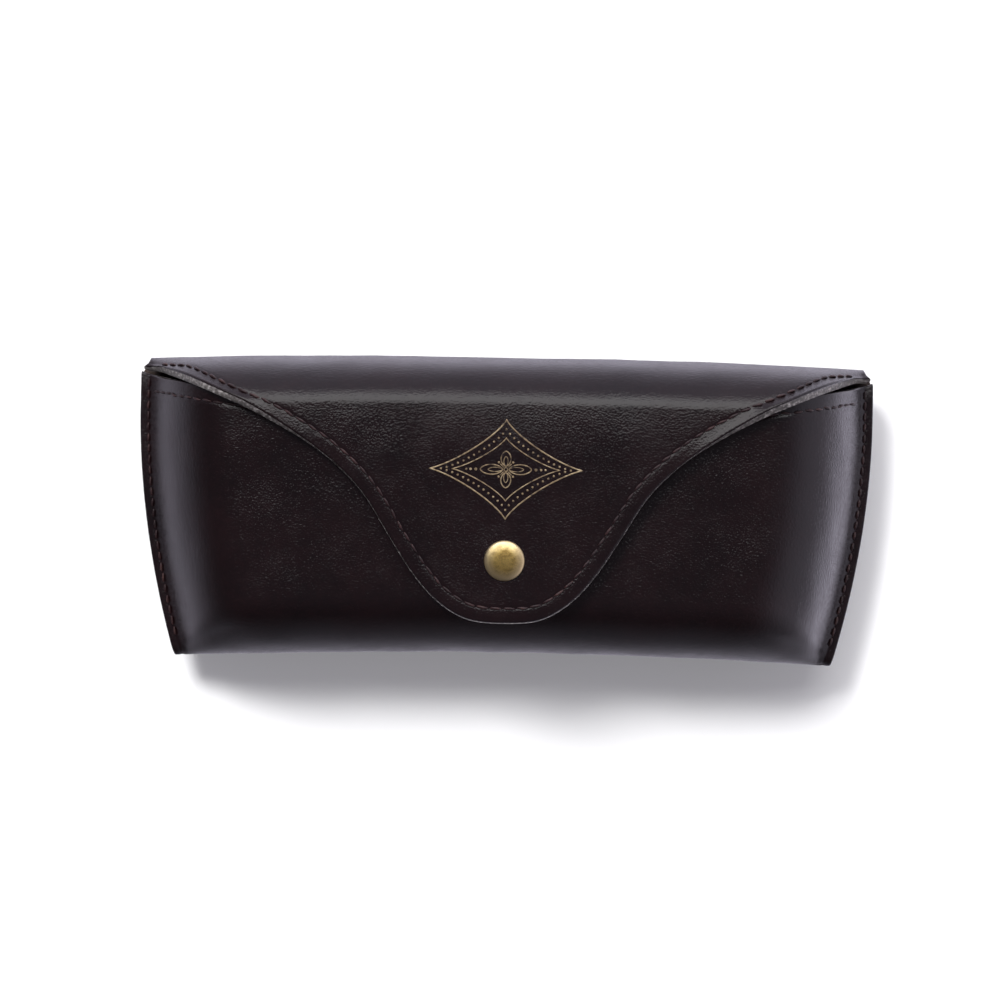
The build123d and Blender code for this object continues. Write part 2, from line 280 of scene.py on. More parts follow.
def mix_colour(nt, fac, a, b):
    n = nt.nodes.new("ShaderNodeMix")
    n.data_type = "RGBA"
    nt.links.new(fac, n.inputs["Factor"])
    for key, x in (("A", a), ("B", b)):
        socket = [i for i in n.inputs if i.name == key and i.type == "RGBA"][0]
        if isinstance(x, tuple):
            socket.default_value = (*x, 1)
        else:
            nt.links.new(x, socket)
    return [o for o in n.outputs if o.type == "RGBA"][0]


def leather_material(name, dark=(0.0034, 0.0016, 0.0019), warm=(0.0072, 0.0026, 0.0031), rough=0.17):
    mat, nt, b = material(name)
    vec = coords(nt)
    blotch = noise(nt, vec, 55, 4)
    fine = noise(nt, vec, 700, 3)
    nt.links.new(ramp(nt, math_node(nt, "ADD", math_node(nt, "MULTIPLY", blotch, 0.65),
                                    math_node(nt, "MULTIPLY", fine, 0.35)),
                      [(0.35, dark), (0.68, warm)]), b.inputs["Base Color"])
    grain = noise(nt, vec, 2200, 1.2)
    pores = noise(nt, vec, 6000, 1)
    rumple = noise(nt, vec, 260, 3)
    nt.links.new(map_range(nt, math_node(nt, "ADD", blotch, rumple), 0.7, 1.3, rough - 0.05, rough + 0.09),
                 b.inputs["Roughness"])
    n1 = bump(nt, rumple, 0.00002, 0.6)
    n2 = bump(nt, grain, 0.000105, 1.0, n1)
    n3 = bump(nt, pores, 0.000005, 0.8, n2)
    nt.links.new(n3, b.inputs["Normal"])
    b.inputs["IOR"].default_value = 1.5
    return mat


def edge_material():
    mat, nt, b = material("leather_edge")
    vec = coords(nt)
    # painted highlight: the cut edge's grey is partly its own colour and partly lightened, with pale flecks,
    # to stand in for the light its bevel catches
    fibre_and_glints = noise(nt, vec, 1500, 4)
    tones = [(0.3, (0.045, 0.040, 0.040)), (0.52, (0.16, 0.145, 0.14)), (0.7, (0.50, 0.47, 0.46))]
    nt.links.new(ramp(nt, fibre_and_glints, tones), b.inputs["Base Color"])
    nt.links.new(map_range(nt, fibre_and_glints, 0.3, 0.7, 0.38, 0.6), b.inputs["Roughness"])
    nt.links.new(bump(nt, fibre_and_glints, 0.00012, 0.7), b.inputs["Normal"])
    return mat


def lining_material():
    mat, nt, b = material("lining_nap")
    vec = coords(nt)
    nap = noise(nt, vec, 2600, 3)
    cloud = noise(nt, vec, 90, 3)
    nt.links.new(ramp(nt, math_node(nt, "MULTIPLY", math_node(nt, "ADD", nap, cloud), 0.5),
                      [(0.36, (0.020, 0.013, 0.012)), (0.64, (0.060, 0.042, 0.036))]), b.inputs["Base Color"])
    nt.links.new(map_range(nt, cloud, 0.3, 0.7, 0.86, 0.97), b.inputs["Roughness"])
    nt.links.new(bump(nt, nap, 0.0002, 0.8), b.inputs["Normal"])
    b.inputs["Sheen Weight"].default_value = 0.25
    b.inputs["Sheen Roughness"].default_value = 0.5
    return mat


def board_material():
    mat, nt, b = material("fibre_board")
    vec = coords(nt)
    flecks = noise(nt, vec, 1200, 5)
    tones = [(0.3, (0.20, 0.16, 0.11)), (0.7, (0.36, 0.30, 0.22))]
    nt.links.new(ramp(nt, flecks, tones), b.inputs["Base Color"])
    nt.links.new(bump(nt, flecks, 0.0001, 0.5), b.inputs["Normal"])
    b.inputs["Roughness"].default_value = 0.9
    return mat


def thread_material():
    mat, nt, b = material("waxed_thread")
    vec = coords(nt)
    twist = noise(nt, vec, 3000, 2)
    lots = noise(nt, vec, 160, 2)
    tones = [(0.38, (0.008, 0.004, 0.0045)), (0.54, (0.020, 0.008, 0.009)), (0.68, (0.065, 0.032, 0.028))]
    mixed = math_node(nt, "MULTIPLY", math_node(nt, "ADD", twist, lots), 0.5)
    nt.links.new(ramp(nt, mixed, tones), b.inputs["Base Color"])
    nt.links.new(map_range(nt, twist, 0.3, 0.7, 0.30, 0.55), b.inputs["Roughness"])
    nt.links.new(bump(nt, twist, 0.0001, 0.8), b.inputs["Normal"])
    return mat


def brass_material(name="aged_brass", bright=(0.88, 0.63, 0.20), dull=(0.36, 0.235, 0.075), radial=False):
    mat, nt, b = material(name)
    vec = coords(nt)
    patina = noise(nt, vec, 700, 5)
    specks = noise(nt, vec, 3500, 2)
    both = math_node(nt, "ADD", math_node(nt, "MULTIPLY", patina, 0.7),
                     math_node(nt, "MULTIPLY", specks, 0.3))
    tone = ramp(nt, both, [(0.38, dull), (0.62, bright)])
    if radial:
        offset = nt.nodes.new("ShaderNodeVectorMath")
        offset.operation = "SUBTRACT"
        nt.links.new(vec, offset.inputs[0])
        offset.inputs[1].default_value = (0, SNAP_Y * MM, 0)
        flat = nt.nodes.new("ShaderNodeVectorMath")
        flat.operation = "MULTIPLY"
        nt.links.new(offset.outputs[0], flat.inputs[0])
        flat.inputs[1].default_value = (1, 1, 0)
        length = nt.nodes.new("ShaderNodeVectorMath")
        length.operation = "LENGTH"
        nt.links.new(flat.outputs[0], length.inputs[0])
        # painted highlight: towards the rim the cap's colour is mixed to a pale brass, standing in for the
        # light the rim catches
        painted_rim_highlight = map_range(nt, math_node(nt, "ADD", length.outputs["Value"],
                                       math_node(nt, "MULTIPLY", patina, 0.0016)), 0.0030, 0.0054, 0.0, 1.0)
        tone = mix_colour(nt, painted_rim_highlight, tone, (0.92, 0.74, 0.42))
    nt.links.new(tone, b.inputs["Base Color"])
    b.inputs["Metallic"].default_value = 1.0
    nt.links.new(map_range(nt, both, 0.35, 0.65, 0.46, 0.30), b.inputs["Roughness"])
    nt.links.new(bump(nt, patina, 0.00004, 0.5), b.inputs["Normal"])
    return mat


def steel_material():
    mat, nt, b = material("spring_wire")
    vec = coords(nt)
    n = noise(nt, vec, 2000, 3)
    nt.links.new(ramp(nt, n, [(0.3, (0.32, 0.32, 0.33)), (0.7, (0.55, 0.55, 0.56))]), b.inputs["Base Color"])
    b.inputs["Metallic"].default_value = 1.0
    nt.links.new(map_range(nt, n, 0.3, 0.7, 0.22, 0.4), b.inputs["Roughness"])
    return mat


def foil_material():
    mat, nt, b = material("gold_foil")
    vec = coords(nt)
    rub = noise(nt, vec, 900, 4)
    big = noise(nt, vec, 140, 2)
    worn = math_node(nt, "ADD", math_node(nt, "MULTIPLY", rub, 0.6), math_node(nt, "MULTIPLY", big, 0.4))
    tones = [(0.38, (0.035, 0.024, 0.018)), (0.50, (0.26, 0.19, 0.11)), (0.66, (0.60, 0.48, 0.30))]
    nt.links.new(ramp(nt, worn, tones), b.inputs["Base Color"])
    nt.links.new(map_range(nt, worn, 0.38, 0.6, 0.2, 0.85), b.inputs["Metallic"])
    nt.links.new(map_range(nt, rub, 0.3, 0.7, 0.5, 0.32), b.inputs["Roughness"])
    nt.links.new(bump(nt, rub, 0.00005, 0.6), b.inputs["Normal"])
    return mat


LEATHER_MAT = leather_material("glazed_leather")
EDGE_MAT = edge_material()
FLESH_MAT = leather_material("leather_flesh_side", (0.03, 0.02, 0.016), (0.055, 0.036, 0.028), 0.7)
LINING_MAT = lining_material()
THREAD_MAT = thread_material()
BRASS_MAT = brass_material()
CAP_MAT = brass_material("cap_brass", radial=True)
FOIL_MAT = foil_material()
BOARD_MAT = board_material()
STEEL_MAT = steel_material()


# ---------------------------------------------------------------- outer leather of the body
def body_columns():
    """s values across the case, close together by the side seams."""
    e = edge_offsets(14.0, [SEAM_INSET, FLANGE], 0.55)
    left = -1 + e / HALF_LENGTH
    return np.concatenate([left, np.linspace(left[-1], -left[-1], 160)[1:-1], -left[::-1]])


def body_grid(s, v):
    S, V = np.meshgrid(s, v, indexing="ij")
    return S, V, body_surface(S, V)


def groove(distance, width=0.55, depth=0.16):
    return -depth * np.exp(-(distance / width) ** 2)


CREASE_FROM, CREASE_TO = (78.5, -35.5), (60.0, -27.5)  # at the bottom corners


def body_relief(S, V, P):
    """Sewn channels, the corner creases and the leather's own unevenness on the outer surface."""
    x, y = P[..., 0], P[..., 1]
    side = half_length(y) - np.abs(x)
    front = V < 1.9
    d = 0.16 * waves(P, 34, 3) * smooth(side / 12) + 0.05 * waves(P, 11, 5) * smooth(side / 6)
    d = d * smooth(V / 0.1) * np.where(V > 2.4, 0.25, 1.0)
    d += np.where(front, groove(side - SEAM_INSET, 0.5, 0.20), groove(side - SEAM_INSET, 0.5, 0.12))
    inset = mouth_y(S) - y
    d += np.where(V < 1, groove(inset - MOUTH_INSET, 0.55, 0.18) * smooth((side - 3) / 4), 0)
    d -= np.where(V < 1, 0.25 * (1 - smooth(inset / 3.2)), 0)
    # crease running in from each bottom corner
    cx, cy = np.abs(x), y
    (ax, ay), (bx, by) = CREASE_FROM, CREASE_TO
    lx, ly = bx - ax, by - ay
    t = np.clip(((cx - ax) * lx + (cy - ay) * ly) / (lx * lx + ly * ly), 0, 1)
    dist = np.hypot(cx - ax - t * lx, cy - ay - t * ly)
    crease = -0.45 * np.exp(-(dist / 1.5) ** 2) * smooth(t / 0.15) * smooth((1 - t) / 0.5)
    d += np.where((V > 0.3) & (V < 1.9), crease, 0)
    return d


FLAP_FROM_V = 4.3  # the flap's leather is one piece with the back down to here
s_body = body_columns()
top_rows = edge_offsets(9.0, [MOUTH_INSET], 0.8) / POCKET_LENGTH
v_body = np.unique(np.concatenate([
    top_rows, np.linspace(top_rows[-1], 1, 45), np.linspace(1, 2, 34), np.linspace(2, 3, 26),
    np.linspace(3, 4, 40), np.linspace(4, FLAP_FROM_V, 9),
]).round(6))
S, V, P = body_grid(s_body, v_body)
relief = body_relief(S, V, P)
side_gap = half_length(P[..., 1]) - np.abs(P[..., 0])
mouth_gap = np.where(V < 1, (mouth_y(S) - P[..., 1]), FAR)
EDGE_R = 0.42
sink = rounding(np.minimum(side_gap, mouth_gap), EDGE_R)
body_outer, body_n = lift(P, relief - sink)
body_outer[..., 2] = np.maximum(body_outer[..., 2], TABLE_GAP)
body_inner, _ = lift(P, -LEATHER + np.minimum(relief, 0) * 0.3 + sink * 0.8)
body_leather = thick_sheet("leather_body", body_outer, body_inner, [LEATHER_MAT, EDGE_MAT, FLESH_MAT])
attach(body_leather, "body")
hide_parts("outer_leather")


# ---------------------------------------------------------------- outer leather of the flap
def spline_through(points, count):
    """Dense points on a Catmull-Rom curve through plan points, mirrored about x = 0."""
    whole = np.concatenate([points[:0:-1] * (-1, 1), points])
    ext = np.concatenate([[2 * whole[0] - whole[1]], whole, [2 * whole[-1] - whole[-2]]])
    out = []
    for i in range(1, len(ext) - 2):
        p0, p1, p2, p3 = ext[i - 1:i + 3]
        for t in np.linspace(0, 1, count, endpoint=False):
            out.append(0.5 * ((2 * p1) + (-p0 + p2) * t + (2 * p0 - 5 * p1 + 4 * p2 - p3) * t * t
                              + (-p0 + 3 * p1 - 3 * p2 + p3) * t ** 3))
    out.append(whole[-1])
    return np.array(out)


OUTLINE = spline_through(FLAP_OUTLINE, 24)
along = np.gradient(OUTLINE, axis=0)
along /= np.linalg.norm(along, axis=1, keepdims=True)
OUTLINE_N = np.stack([-along[:, 1], along[:, 0]], 1)


def inset_scale(s):
    """The sewn line draws in towards the edge at the fold's ends."""
    return 1 - 0.62 * smooth((np.abs(s) - 0.84) / 0.16)


def outline_y(x, e):
    """Height in plan of the flap's outline moved in by e, over x; e may differ from x to x."""
    base = np.full_like(x, 0.0)
    for _ in range(3):
        nx = np.interp(x, OUTLINE[:, 0], OUTLINE_N[:, 0])
        ny = np.interp(x, OUTLINE[:, 0], OUTLINE_N[:, 1])
        base = np.interp(x - nx * e, OUTLINE[:, 0], OUTLINE[:, 1]) + ny * e
    return base


def flap_v_at(s, y_target):
    """v at which each column of the flap reaches a given y, on its way down the front."""
    vs = np.linspace(1.0, 3.0, 400)
    S, V = np.meshgrid(s, vs, indexing="ij")
    Y = flap_surface(S, V)[..., 1]
    return np.array([np.interp(-y_target[i], -Y[i], vs) for i in range(len(s))])


def flap_grid(s, offsets, back_rows, body_rows, edge_inset=0.0):
    """Rows from the fold to the flap's outline: s, v, points and distance from the outline."""
    v_lines = []
    for e in offsets[::-1]:
        scale = inset_scale(s)
        y = np.zeros_like(s)
        for _ in range(3):
            x = s * half_length(y)
            y = outline_y(x, (e + edge_inset) * scale)
        v_lines.append(flap_v_at(s, y))
    # at the fold's ends the deepest rows stay clear of the crest, so that no two rows meet
    edge_v = np.maximum(np.stack(v_lines, 1), 1.12 + 0.01 * np.arange(len(offsets)))
    first = edge_v[:, 0]
    rows = [np.full_like(s, v) for v in back_rows]
    for r in body_rows:
        rows.append(back_rows[-1] + (first - back_rows[-1]) * r)
    V = np.concatenate([np.stack(rows, 1), edge_v], 1)
    S = np.repeat(s[:, None], V.shape[1], 1)
    P = flap_surface(S, V)
    E = np.concatenate([np.full((len(s), len(rows)), FAR), np.repeat(offsets[::-1][None], len(s), 0)], 1)
    return S, V, P, E


offsets = edge_offsets(7.0, [FLAP_INSET], 0.7)
s_flap = np.concatenate([
    np.linspace(-1, -0.93, 22), np.linspace(-0.93, -0.5, 90)[1:],
    np.linspace(-0.5, 0.5, 230)[1:-1], np.linspace(0.5, 0.93, 90)[:-1], np.linspace(0.93, 1, 22),
])
fold_rows = np.concatenate([[0], np.linspace(0.12, 1, 8)])
fill_rows = np.linspace(0, 1, 120)[1:-1]
S, V, P, E = flap_grid(s_flap, offsets, fold_rows, fill_rows)
# the stretch of back below the fold line, so that the leather runs over the fold line in one piece
vb = np.linspace(FLAP_FROM_V, 5, 26)[:-1]
Sb, Vb, Pb = body_grid(s_flap, vb)
P_all = np.concatenate([Pb, P], 1)
E_all = np.concatenate([np.full(Sb.shape, FAR), E], 1)
S_all = np.concatenate([Sb, S], 1)
plan_e = E_all * inset_scale(S_all)
side_gap = half_length(P_all[..., 1]) - np.abs(P_all[..., 0])
relief = 0.14 * waves(P_all, 30, 11) * smooth(side_gap / 10)
relief += 0.05 * waves(P_all, 10, 12) * smooth(side_gap / 6)
fade_in = np.broadcast_to(smooth((vb - FLAP_FROM_V) / 0.4) * 0.7, Sb.shape)
relief *= np.concatenate([fade_in, np.ones(S.shape)], 1)
# towards the fold the panel curves down before the fold itself begins
crown = np.maximum((P_all[..., 1] - 12.0) / 12.0, 0)
crown = np.where(crown < 1, crown**2, 2 * crown - 1)
crown *= np.concatenate([np.zeros(Sb.shape), smooth((V - 1.3) / 0.6)], 1)
relief -= 0.55 * crown * smooth((side_gap - 6) / 16)
relief += groove(plan_e - FLAP_INSET * inset_scale(S_all), 0.5, 0.11)
relief -= 0.16 * (1 - smooth(plan_e / 3.0)) * (1 - smooth((np.abs(S_all) - 0.45) / 0.12))
# the tongue's margin has lifted a little, more so on the right
far_out = np.abs(S_all)
curl = np.where(S_all > 0, 0.50, 0.10) * smooth((far_out - 0.42) / 0.15) * smooth((0.97 - far_out) / 0.14)
relief += curl * (1 - smooth(plan_e / 3.4)) ** 1.4
sink = rounding(np.minimum(plan_e, side_gap), EDGE_R)
flap_outer, flap_n = lift(P_all, relief - sink)
flap_inner, _ = lift(P_all, -LEATHER + np.minimum(relief, 0) * 0.15 + sink * 0.3)
# the outer face stops short of the inner one, so the cut edge slants and is seen from the front
to_edge = np.where(E_all < 50, 1 - smooth(E_all / 3.2), 0)
slant = to_edge * (0.22 + 0.95 * smooth((far_out - 0.48) / 0.25) * (1 - smooth((far_out - 0.94) / 0.06)))
nx = np.interp(P_all[..., 0], OUTLINE[:, 0], OUTLINE_N[:, 0])
ny = np.interp(P_all[..., 0], OUTLINE[:, 0], OUTLINE_N[:, 1])
flap_outer[..., 0] += nx * slant
flap_outer[..., 1] += ny * slant
flap_outer[..., 2] = np.maximum(flap_outer[..., 2], TABLE_GAP)
flap_leather = thick_sheet("leather_flap", flap_outer, flap_inner, [LEATHER_MAT, EDGE_MAT, FLESH_MAT])
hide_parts("flap_leather")
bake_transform(flap_leather)


# ---------------------------------------------------------------- linings
def pocket_depth(S, V, P):
    y = P[..., 1]
    inside = half_length(y) * (1 - np.abs(S)) - FLANGE
    full = np.full(S.shape, STIFFENER + GLUE)
    full = np.where(V < 1, full * smooth((mouth_y(S) - y - 3.5) / 8), full)
    full = np.where(V > 3, full * smooth((FOLD_Y - TOP_FOLD - 3 - y) / 7), full)
    return full * smooth((inside - 1.5) / 5)


trim = LINING_INSET / HALF_LENGTH
s_in = np.concatenate([-(1 - trim) + np.array([0, .25, .6, 1.1, 1.8, 2.8, 4, 5.5, 7.5, 10, 13]) / HALF_LENGTH,
                       np.linspace(-0.83, 0.83, 70)])
s_in = np.unique(np.concatenate([s_in, -s_in]).round(6))
v_in = np.unique(np.concatenate([
    np.array([0.0114, 0.014, 0.02, 0.035, 0.06, 0.09, 0.13, 0.18, 0.24]), np.linspace(0.3, 1, 22),
    np.linspace(1, 2, 20), np.linspace(2, 3, 16), np.linspace(3, 4, 26), np.linspace(4, FLAP_FROM_V, 7),
]).round(6))
S, V, P = body_grid(s_in, v_in)
depth = LEATHER + GLUE + pocket_depth(S, V, P)
pucker = 0.12 * waves(P, 9, 21) * smooth((half_length(P[..., 1]) - np.abs(P[..., 0]) - 6) / 8)
lin_out, _ = lift(P, -depth)
seam = 0.4 * smooth((np.abs(S) * HALF_LENGTH - HALF_LENGTH + 2.2) / 0.8)  # the sewn edges meet
lin_in, _ = lift(P, -depth - LINING - seam - np.abs(pucker) * smooth((V - 0.2) / 0.3))
lining_body = thick_sheet("lining_body", lin_out, lin_in, [LINING_MAT])
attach(lining_body, "body")
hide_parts("body_lining")

s_fl = s_flap[::3] if (len(s_flap) - 1) % 3 == 0 else np.concatenate([s_flap[::3], [s_flap[-1]]])
s_fl = s_fl * (1 - trim)
off_in = np.array([0, .1, .3, .6, 1.1, 1.8, 2.6, 3.1, 3.6, 4.1, 5.2, 6.5])
S, V, P, E = flap_grid(s_fl, off_in, fold_rows, np.linspace(0, 1, 60)[1:-1], edge_inset=0.45)
Sb, Vb, Pb = body_grid(s_fl, vb)
P_all = np.concatenate([Pb, P], 1)
S_all = np.concatenate([Sb, S], 1)
plan_e = (np.concatenate([np.full(Sb.shape, FAR), E + 0.45], 1)) * inset_scale(S_all)
press = 0.064 * (1 - smooth(plan_e / 3.0))
depth = LEATHER + GLUE + 0.03 + press
depth = depth + np.concatenate([pocket_depth(Sb, Vb, Pb), np.zeros(S.shape)], 1)
fl_out, _ = lift(P_all, -depth)
fl_in, _ = lift(P_all, -depth - LINING)
lining_flap = thick_sheet("lining_flap", fl_out, fl_in, [LINING_MAT])
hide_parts("flap_lining")
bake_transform(lining_flap)


# ---------------------------------------------------------------- stitching
def stitch_row(name, points, normals, pitch, length, radius, body, replaced, seed):
    """Each stitch is a short two-ply cord that rises out of one hole and dives into the next."""
    r = np.random.default_rng(seed)
    step = np.linalg.norm(np.diff(points, axis=0), axis=1)
    run = np.concatenate([[0], np.cumsum(step)])
    at = lambda q, a: np.stack([np.interp(q, run, a[:, k]) for k in range(3)], -1)
    verts, faces = [], []
    rings, sides = 9, 8
    for k in range(int(run[-1] / pitch)):
        mid = (k + 0.5) * pitch + r.normal() * 0.04
        half = length / 2 * (1 + r.normal() * 0.03)
        t = np.linspace(-1, 1, rings)
        centre = at(mid + t * half, points)
        up = at(mid + t * half, normals)
        up /= np.linalg.norm(up, axis=1, keepdims=True)
        fwd = np.gradient(centre, axis=0)
        fwd /= np.linalg.norm(fwd, axis=1, keepdims=True)
        out = np.cross(fwd, up)
        slant = r.normal() * 0.05 + 0.06
        height = 0.30 * (1 - np.abs(t) ** 3.2) - 0.22
        centre = centre + up * (height + radius * 0.4)[:, None] + out * (slant * t * half)[:, None]
        width = radius * (1 - 0.30 * np.abs(t) ** 3)
        base = len(verts)
        for i in range(rings):
            turn = t[i] * 2.2
            for j in range(sides):
                a = 2 * math.pi * j / sides
                lobes = 1 + 0.13 * math.cos(2 * (a - turn))
                spoke = out[i] * math.cos(a) + up[i] * math.sin(a) * 0.85
                verts.append(centre[i] + spoke * width[i] * lobes)
        for i in range(rings - 1):
            for j in range(sides):
                a, b = base + i * sides + j, base + i * sides + (j + 1) % sides
                faces.append((a, b, b + sides, a + sides))
        faces.append(tuple(base + j for j in range(sides))[::-1])
        faces.append(tuple(base + (rings - 1) * sides + j for j in range(sides)))
    ob = new_mesh(name, verts, faces)
    ob.data.materials.append(THREAD_MAT)
    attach(ob, body)
    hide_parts(replaced)


def column_at(values, target):
    return int(np.argmin(np.abs(values - target)))


for side, name in ((-1, "left_seam_stitching"), (1, "right_seam_stitching")):
    col = column_at(s_body, side * (1 - SEAM_INSET / HALF_LENGTH))
    up_side = body_outer[col, :, 1]
    keep = (v_body < 1.0) & (up_side < MOUTH_CORNER_Y - 1.6) & (up_side > -HALF_DEPTH + 3.2)
    stitch_row("thread_" + name.removesuffix("_stitching"), body_outer[col, keep], body_n[col, keep],
               SEAM_PITCH, 2.05, 0.27, "body", name, 30 + side)
keep = np.abs(s_body) < 1 - 3.3 / HALF_LENGTH
gaps = np.abs((mouth_y(s_body)[:, None] - body_outer[..., 1]) - MOUTH_INSET)
gaps[:, v_body > 1] = FAR
rows = gaps.argmin(1)
line = body_outer[np.arange(len(s_body)), rows][keep]
line_n = body_n[np.arange(len(s_body)), rows][keep]
stitch_row("thread_mouth", line, line_n, MOUTH_PITCH, 2.5, 0.28, "body", "mouth_stitching", 40)
row = flap_outer.shape[1] - 1 - column_at(offsets, FLAP_INSET)
keep = np.abs(s_flap) < 0.955
stitch_row("thread_flap", flap_outer[keep, row], flap_n[keep, row],
           FLAP_PITCH, 2.55, 0.29, "flap", "flap_stitching", 41)


# ---------------------------------------------------------------- snap cap
def lathe(name, profile, centre, mat, segments=72):
    """Solid turned about a vertical axis from (radius, height) points, top to bottom and back inside."""
    verts, faces = [], []
    rings = []
    for r, z in profile:
        if r < 1e-6:
            rings.append([len(verts)])
            verts.append((centre[0], centre[1], z))
        else:
            rings.append(list(range(len(verts), len(verts) + segments)))
            for k in range(segments):
                a = 2 * math.pi * k / segments
                verts.append((centre[0] + r * math.cos(a), centre[1] + r * math.sin(a), z))
    for p, q in zip(rings, rings[1:]):
        for k in range(segments):
            k2 = (k + 1) % segments
            if len(p) == 1:
                faces.append((p[0], q[k], q[k2]))
            elif len(q) == 1:
                faces.append((p[k], q[0], p[k2]))
            else:
                faces.append((p[k], q[k], q[k2], p[k2]))
    ob = new_mesh(name, verts, faces)
    ob.data.materials.append(mat)
    return ob


CAP_Z = SEAM_Z + FLAP_FOOT + FLAP_RISE + 0.05
dome = [(0, 1.22)] + [(r, 1.22 - 0.62 * (r / 4.3) ** 2.6) for r in (0.6, 1.2, 1.8, 2.4, 3.0, 3.5, 3.9, 4.15)]
rim = [(4.42, 0.52), (4.62, 0.36), (4.74, 0.14), (4.75, -0.02), (4.70, -0.12), (4.55, -0.16), (4.42, -0.12),
       (4.36, 0.02), (4.30, 0.22), (3.6, 0.60), (2.2, 0.84), (1.62, 0.88), (1.6, 0.5), (1.6, -1.9),
       (1.66, -2.22),
       (2.0, -2.40), (2.28, -2.46), (2.3, -2.56), (2.0, -2.62), (1.4, -2.52), (1.15, -2.3), (1.15, -1.0),
       (1.15, 0.7), (0, 0.82)]
cap = lathe("snap_cap_brass", [(r, CAP_Z + z) for r, z in dome + rim], (0, SNAP_Y), CAP_MAT)
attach(cap, "flap")
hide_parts("snap_cap")


# ---------------------------------------------------------------- gold foil ornament
outer_count = (flap_outer.shape[0] - 1) * (flap_outer.shape[1] - 1)
foil_tree = BVHTree.FromPolygons(
    [tuple(p) for p in flap_outer.reshape(-1, 3)],
    [tuple(p.vertices) for p in flap_leather.data.polygons[:outer_count]],
)


def on_leather(x, y, up=0.03):
    hit = foil_tree.ray_cast(Vector((x, y, 60)), Vector((0, 0, -1)))
    return hit[0].z + up


def ribbons(name, lines, seed=5):
    """Thin foil lines laid on the leather: each is (points, width, closed)."""
    r = np.random.default_rng(seed)
    verts, faces = [], []
    for pts, width, closed in lines:
        p = np.asarray(pts, float)
        n = len(p)
        t = np.roll(p, -1, 0) - np.roll(p, 1, 0) if closed else np.gradient(p, axis=0)
        t /= np.linalg.norm(t, axis=1, keepdims=True) + 1e-9
        side = np.stack([-t[:, 1], t[:, 0]], 1)
        w = width * (1 + 0.22 * np.sin(np.arange(n) * 1.7 + r.uniform(0, 6)) * r.uniform(0.3, 1, n)) / 2
        base = len(verts)
        for k in range(n):
            for q, lift_by in ((p[k] + side[k] * w[k], 0.0), (p[k], 0.035), (p[k] - side[k] * w[k], 0.0)):
                verts.append((q[0], q[1], on_leather(q[0], q[1]) + lift_by))
            for q in (p[k] - side[k] * w[k], p[k] + side[k] * w[k]):
                verts.append((q[0], q[1], on_leather(q[0], q[1]) - 0.08))
        for k in range(n if closed else n - 1):
            a, b = base + 5 * k, base + 5 * ((k + 1) % n)
            for j in range(5):
                j2 = (j + 1) % 5
                faces.append((a + j, b + j, b + j2, a + j2))
        if not closed:
            faces.append(tuple(base + j for j in range(5)))
            faces.append(tuple(base + 5 * (n - 1) + j for j in (4, 3, 2, 1, 0)))
    ob = new_mesh(name, verts, faces)
    ob.data.materials.append(FOIL_MAT)
    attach(ob, "flap")


def lozenge(a, b, power, count=200):
    """A four-pointed outline with sides that sweep in, its points evenly spaced along it."""
    q = np.linspace(0, 2 * math.pi, 4001)
    c, s_ = np.cos(q), np.sin(q)
    p = np.stack([a * np.sign(c) * np.abs(c) ** power, b * np.sign(s_) * np.abs(s_) ** power], 1)
    run = np.concatenate([[0], np.cumsum(np.linalg.norm(np.diff(p, axis=0), axis=1))])
    at = np.linspace(0, run[-1], count, endpoint=False)
    return np.stack([np.interp(at, run, p[:, k]) for k in (0, 1)], 1)


def dot(x, y, r):
    """A small pressed dot, drawn as a ring as wide as its own line."""
    q = np.linspace(0, 2 * math.pi, 12, endpoint=False)
    return np.stack([x + r * np.cos(q), y + r * np.sin(q)], 1)


ORN_Y = 9.3
lines = [
    (lozenge(17.8, 11.6, 2.5) + (0, ORN_Y), 0.34, True),
    (lozenge(12.6, 7.4, 2.5) + (0, ORN_Y), 0.26, True),
]
for x, y in lozenge(15.1, 9.4, 2.5, 52):
    lines.append((dot(x, y + ORN_Y, 0.13), 0.27, True))
for petal in range(4):
    a = petal * math.pi / 2
    q = np.linspace(0, math.pi, 22)
    outer_reach, inner_reach = (5.2, 3.4) if petal % 2 == 0 else (3.5, 2.3)
    for reach, wide, weight in ((outer_reach, 1.15, 0.28), (inner_reach, 0.5, 0.2)):
        upper = np.stack([0.75 + reach * (1 - np.cos(q)) / 2, wide * np.sin(q) ** 1.3], 1)
        leaf = np.concatenate([upper[:-1], (upper[::-1] * (1, -1))[:-1]])
        turned = np.stack([leaf[:, 0] * math.cos(a) - leaf[:, 1] * math.sin(a),
                           leaf[:, 0] * math.sin(a) + leaf[:, 1] * math.cos(a)], 1)
        lines.append((turned + (0, ORN_Y), weight, True))
for k in range(4):
    a = (k + 0.5) * math.pi / 2
    ray = np.array([(r * math.cos(a), r * math.sin(a) + ORN_Y) for r in (0.7, 1.3, 1.9)])
    lines.append((ray, 0.24, False))
    lines.append((dot(2.35 * math.cos(a), 2.35 * math.sin(a) + ORN_Y, 0.14), 0.28, True))
lines.append((dot(0, ORN_Y, 0.45), 0.26, True))
for sx in (-1, 1):
    for x, r in ((7.0, 0.2), (8.2, 0.16), (9.2, 0.12)):
        lines.append((dot(sx * x, ORN_Y, r), 0.3, True))
ribbons("foil_ornament", lines)

# ---------------------------------------------------------------- finishes of the CAD nodes that stay
for name, mat in (("snap_stud", BRASS_MAT), ("stud_post", BRASS_MAT), ("snap_socket", BRASS_MAT),
                  ("snap_spring", STEEL_MAT), ("front_stiffener", BOARD_MAT), ("back_stiffener", BOARD_MAT)):
    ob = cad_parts[name]
    ob.data.materials.clear()
    ob.data.materials.append(mat)

